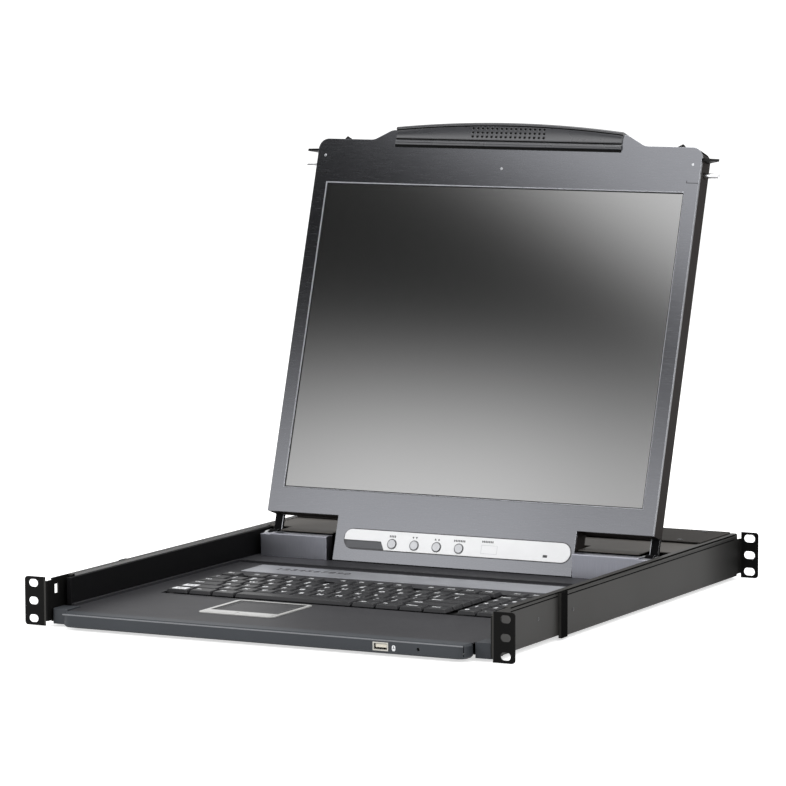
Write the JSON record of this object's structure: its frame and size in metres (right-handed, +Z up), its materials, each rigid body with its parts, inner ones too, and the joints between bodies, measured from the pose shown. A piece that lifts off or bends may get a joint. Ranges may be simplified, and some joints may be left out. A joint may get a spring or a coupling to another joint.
{
  "type": "rackmount lcd console drawer",
  "caption": "One-unit rack drawer with a slide-out keyboard and touchpad and a flip-up flat display, held by ears and telescoping rear brackets.",
  "frame": {"origin": "centre of the front ears' hole pattern, on the front face of the ears, with the drawer in and the panel raised", "axes": "+X to the operator's right, +Y to the back of the rack, +Z up"},
  "size_m": [0.4826, 0.5519, 0.4294],
  "materials": {
    "chassis_black": "fine textured powder coat",
    "cover_beige": "satin paint",
    "zinc_sheet": "zinc plated",
    "circuit_board": "solder mask",
    "socket_black": "moulded",
    "socket_metal": "plated",
    "rail_steel": "zinc plated",
    "bracket_grey": "fine textured powder coat",
    "tray_grey": "satin paint",
    "deck_grey": "satin paint",
    "lip_grey": "satin",
    "lamp_lens": "clear",
    "trim_silver": "silver lacquer",
    "pad_grey": "fine texture",
    "strip_silver": "satin",
    "plate_grey": "moulded",
    "key_black": "fine texture",
    "pin_chrome": "polished",
    "bezel_metal": "brushed satin",
    "panel_black": "satin",
    "screen_glass": "anti-glare",
    "label_white": "gloss film",
    "handle_black": "gloss",
    "button_silver": "satin",
    "catch_black": "moulded"
  },
  "bodies": {
    "chassis": {"chassis_wall_left": "chassis_black", "chassis_wall_right": "chassis_black", "chassis_floor": "chassis_black", "rear_cover": "cover_beige", "rear_panel": "chassis_black", "rear_bulkhead": "zinc_sheet", "mainboard": "circuit_board", "power_supply": "zinc_sheet", "power_inlet": "socket_black", "rear_ports": "socket_metal", "outer_rail_left": "rail_steel", "outer_rail_right": "rail_steel"},
    "rocker": {"power_rocker": "socket_black"},
    "middle_left": {"middle_rail_left": "rail_steel"},
    "middle_right": {"middle_rail_right": "rail_steel"},
    "bracket_left": {"rear_bracket_left": "bracket_grey"},
    "bracket_right": {"rear_bracket_right": "bracket_grey"},
    "drawer": {"inner_rail_left": "rail_steel", "inner_rail_right": "rail_steel", "tray_pan": "tray_grey", "keyboard_deck": "deck_grey", "front_lip": "lip_grey", "tray_corners": "lip_grey", "mouse_port": "socket_metal", "power_lamp": "lamp_lens", "touchpad_frame": "trim_silver", "touchpad_surface": "pad_grey", "marking_strip": "strip_silver", "keyboard_plate": "plate_grey", "hinge_tower_left": "lip_grey", "hinge_tower_right": "lip_grey", "hinge_brackets": "zinc_sheet", "hinge_pins": "pin_chrome", "drawer_cover": "cover_beige"},
    "touch_left": {"touch_button_left": "trim_silver"},
    "touch_right": {"touch_button_right": "trim_silver"},
    "space_key": {"space_bar": "key_black"},
    "panel": {"lcd_bezel": "bezel_metal", "lcd_back_cover": "panel_black", "lcd_screen": "screen_glass", "lcd_module": "zinc_sheet", "control_strip": "label_white", "button_board": "circuit_board", "handle": "handle_black", "hinge_arm_left": "panel_black", "hinge_arm_right": "panel_black"},
    "catch_left": {"catch_slide_left": "catch_black", "catch_pin_left": "pin_chrome"},
    "catch_right": {"catch_slide_right": "catch_black", "catch_pin_right": "pin_chrome"},
    "bottom_row_keys": {"keys_bottom_row": "key_black"},
    "shift_row_keys": {"keys_shift_row": "key_black"},
    "home_row_keys": {"keys_home_row": "key_black"},
    "letter_row_keys": {"keys_letter_row": "key_black"},
    "number_row_keys": {"keys_number_row": "key_black"},
    "function_row_keys": {"keys_function_row": "key_black"},
    "panel_button_1": {"control_button_1": "button_silver"},
    "panel_button_2": {"control_button_2": "button_silver"},
    "panel_button_3": {"control_button_3": "button_silver"},
    "panel_button_4": {"control_button_4": "button_silver"}
  },
  "joints": [
    {"name": "drawer_slide", "type": "slide", "parent": "chassis", "child": "drawer", "axis": [0, -1, 0], "range_m": [0, 0.4]},
    {"name": "middle_slide_left", "type": "slide", "parent": "chassis", "child": "middle_left", "axis": [0, -1, 0], "range_m": [0, 0.2]},
    {"name": "middle_slide_right", "type": "slide", "parent": "chassis", "child": "middle_right", "axis": [0, -1, 0], "range_m": [0, 0.2]},
    {"name": "bracket_slide_left", "type": "slide", "parent": "chassis", "child": "bracket_left", "axis": [0, 1, 0], "range_m": [-0.1, 0.23]},
    {"name": "bracket_slide_right", "type": "slide", "parent": "chassis", "child": "bracket_right", "axis": [0, 1, 0], "range_m": [-0.1, 0.23]},
    {"name": "lcd_tilt", "type": "hinge", "parent": "drawer", "child": "panel", "pos_m": [0, 0.3834, 0.01167], "axis": [1, 0, 0], "range_deg": [-12.4, 107.6]},
    {"name": "power_rocker_tilt", "type": "hinge", "parent": "chassis", "child": "rocker", "pos_m": [-0.128, 0.533, -0.00022], "axis": [1, 0, 0], "range_deg": [0, 14]},
    {"name": "touch_press_left", "type": "slide", "parent": "drawer", "child": "touch_left", "axis": [0, 0, -1], "range_m": [0, 0.0006], "stiffness_N_per_m": 400, "springref_m": -0.0008},
    {"name": "touch_press_right", "type": "slide", "parent": "drawer", "child": "touch_right", "axis": [0, 0, -1], "range_m": [0, 0.0006], "stiffness_N_per_m": 400, "springref_m": -0.0008},
    {"name": "space_press", "type": "slide", "parent": "drawer", "child": "space_key", "axis": [0, 0, -1], "range_m": [0, 0.002], "stiffness_N_per_m": 200, "springref_m": -0.0018},
    {"name": "catch_press_left", "type": "slide", "parent": "panel", "child": "catch_left", "axis": [1, 0, 0], "range_m": [0, 0.008], "stiffness_N_per_m": 350, "springref_m": -0.006},
    {"name": "catch_press_right", "type": "slide", "parent": "panel", "child": "catch_right", "axis": [-1, 0, 0], "range_m": [0, 0.008], "stiffness_N_per_m": 350, "springref_m": -0.006},
    {"name": "bottom_row_press", "type": "slide", "parent": "drawer", "child": "bottom_row_keys", "axis": [0, 0, -1], "range_m": [0, 0.002], "stiffness_N_per_m": 600, "springref_m": -0.002},
    {"name": "shift_row_press", "type": "slide", "parent": "drawer", "child": "shift_row_keys", "axis": [0, 0, -1], "range_m": [0, 0.002], "stiffness_N_per_m": 600, "springref_m": -0.002},
    {"name": "home_row_press", "type": "slide", "parent": "drawer", "child": "home_row_keys", "axis": [0, 0, -1], "range_m": [0, 0.002], "stiffness_N_per_m": 600, "springref_m": -0.002},
    {"name": "letter_row_press", "type": "slide", "parent": "drawer", "child": "letter_row_keys", "axis": [0, 0, -1], "range_m": [0, 0.002], "stiffness_N_per_m": 600, "springref_m": -0.002},
    {"name": "number_row_press", "type": "slide", "parent": "drawer", "child": "number_row_keys", "axis": [0, 0, -1], "range_m": [0, 0.002], "stiffness_N_per_m": 600, "springref_m": -0.002},
    {"name": "function_row_press", "type": "slide", "parent": "drawer", "child": "function_row_keys", "axis": [0, 0, -1], "range_m": [0, 0.002], "stiffness_N_per_m": 600, "springref_m": -0.002},
    {"name": "panel_button_press_1", "type": "slide", "parent": "panel", "child": "panel_button_1", "axis": [0, 0.9532, -0.3024], "range_m": [0, 0.0008], "stiffness_N_per_m": 500, "springref_m": -0.0012},
    {"name": "panel_button_press_2", "type": "slide", "parent": "panel", "child": "panel_button_2", "axis": [0, 0.9532, -0.3024], "range_m": [0, 0.0008], "stiffness_N_per_m": 500, "springref_m": -0.0012},
    {"name": "panel_button_press_3", "type": "slide", "parent": "panel", "child": "panel_button_3", "axis": [0, 0.9532, -0.3024], "range_m": [0, 0.0008], "stiffness_N_per_m": 500, "springref_m": -0.0012},
    {"name": "panel_button_press_4", "type": "slide", "parent": "panel", "child": "panel_button_4", "axis": [0, 0.9532, -0.3024], "range_m": [0, 0.0008], "stiffness_N_per_m": 500, "springref_m": -0.0012}
  ],
  "couplings": [
    {"joint": "middle_slide_left", "follows": "drawer_slide", "ratio": 0.5},
    {"joint": "middle_slide_right", "follows": "drawer_slide", "ratio": 0.5}
  ]
}
